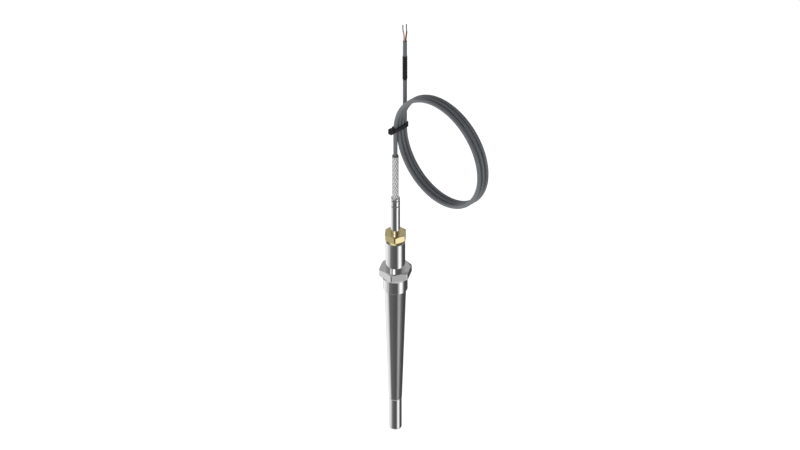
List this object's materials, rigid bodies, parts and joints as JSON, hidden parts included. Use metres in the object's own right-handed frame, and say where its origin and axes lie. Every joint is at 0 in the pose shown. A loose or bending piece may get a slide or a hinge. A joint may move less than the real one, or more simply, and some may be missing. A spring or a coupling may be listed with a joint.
{
  "type": "temperature sensor",
  "caption": "Cable temperature probe held by a brass compression nut in a screw-in hexagon thermowell with a tapered stem, its cable wound in a tied coil.",
  "frame": {"origin": "centre of the sealing face under the large hexagon, on the axis of the probe", "axes": "+Z along the probe's axis towards the cable, -Z towards the measuring tip, +X towards the side where the cable coil hangs out"},
  "size_m": [0.1455, 0.0342, 0.5206],
  "materials": {
    "well_steel": "turned and polished stainless steel",
    "sleeve_steel": "polished stainless tube",
    "nut_brass": "turned brass",
    "braid_metal": "braided stainless wire",
    "relief_rubber": "moulded dark grey rubber",
    "cable_jacket": "satin grey extruded jacket",
    "tie_plastic": "moulded black nylon",
    "shrink_black": "black shrink tubing",
    "insulation_pale": "pale pink wire insulation",
    "insulation_red": "dark red wire insulation",
    "tinned_copper": "tinned copper strands",
    "ceramic": "fired ceramic",
    "resin": "cast resin"
  },
  "bodies": {
    "well": {"thermowell": "well_steel"},
    "probe": {"transition_sleeve": "sleeve_steel", "probe_sheath": "sleeve_steel", "reducing_bush": "sleeve_steel", "ferrule": "nut_brass", "sensing_element": "ceramic", "element_insulator": "ceramic", "element_lead_1": "tinned_copper", "element_lead_2": "tinned_copper", "splice_1": "tinned_copper", "splice_2": "tinned_copper", "core_wire_1": "insulation_pale", "core_wire_2": "insulation_red", "potting_plug": "resin", "cable_bush": "nut_brass", "cable_entry": "cable_jacket", "strain_relief_core": "relief_rubber", "braid_sleeve": "braid_metal", "cable_lower_run": "cable_jacket", "cable_coil": "cable_jacket", "cable_end_run": "cable_jacket", "cable_tie": "tie_plastic", "shrink_sleeve": "shrink_black", "conductor_insulation_1": "insulation_pale", "conductor_insulation_2": "insulation_red", "bare_wire_1": "tinned_copper", "bare_wire_2": "tinned_copper"},
    "nut": {"gland_nut": "nut_brass"}
  },
  "joints": [
    {"name": "probe_lift", "type": "slide", "parent": "well", "child": "probe", "axis": [0, 0, 1], "range_m": [0, 0.245]},
    {"name": "nut_turn", "type": "hinge", "parent": "probe", "child": "nut", "pos_m": [0, 0, 0.0515], "axis": [0, 0, 1], "continuous": true}
  ]
}
